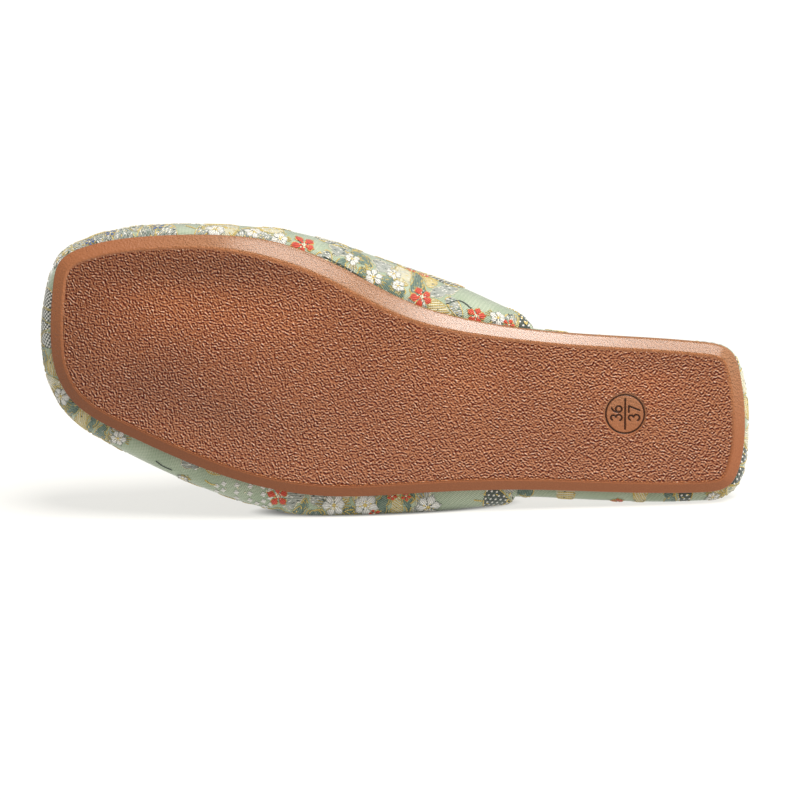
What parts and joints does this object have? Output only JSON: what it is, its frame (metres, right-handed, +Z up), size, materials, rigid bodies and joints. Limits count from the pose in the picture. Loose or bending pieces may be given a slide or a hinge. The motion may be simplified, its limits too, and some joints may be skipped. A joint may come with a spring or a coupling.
{
  "type": "embroidered slipper",
  "caption": "Flat backless slipper with a square toe, a hollow brocade upper, a cloth-wrapped footbed and a grained rubber outsole, lying on its outer side.",
  "frame": {"origin": "on the floor, under the middle of the slipper's box as it lies on its outer side", "axes": "-X towards the toe and +X towards the heel, -Y the way the tread faces, +Z up towards the inner side of the foot"},
  "size_m": [0.2494, 0.0668, 0.1038],
  "materials": {
    "sole_rubber": "pebbled grain, half matt",
    "brocade": "satin weave with raised thread flowers",
    "sock_cloth": "matt plain weave"
  },
  "bodies": {
    "root": {"outsole": "sole_rubber", "footbed": "brocade", "upper": "brocade", "insole": "sock_cloth"}
  },
  "joints": []
}
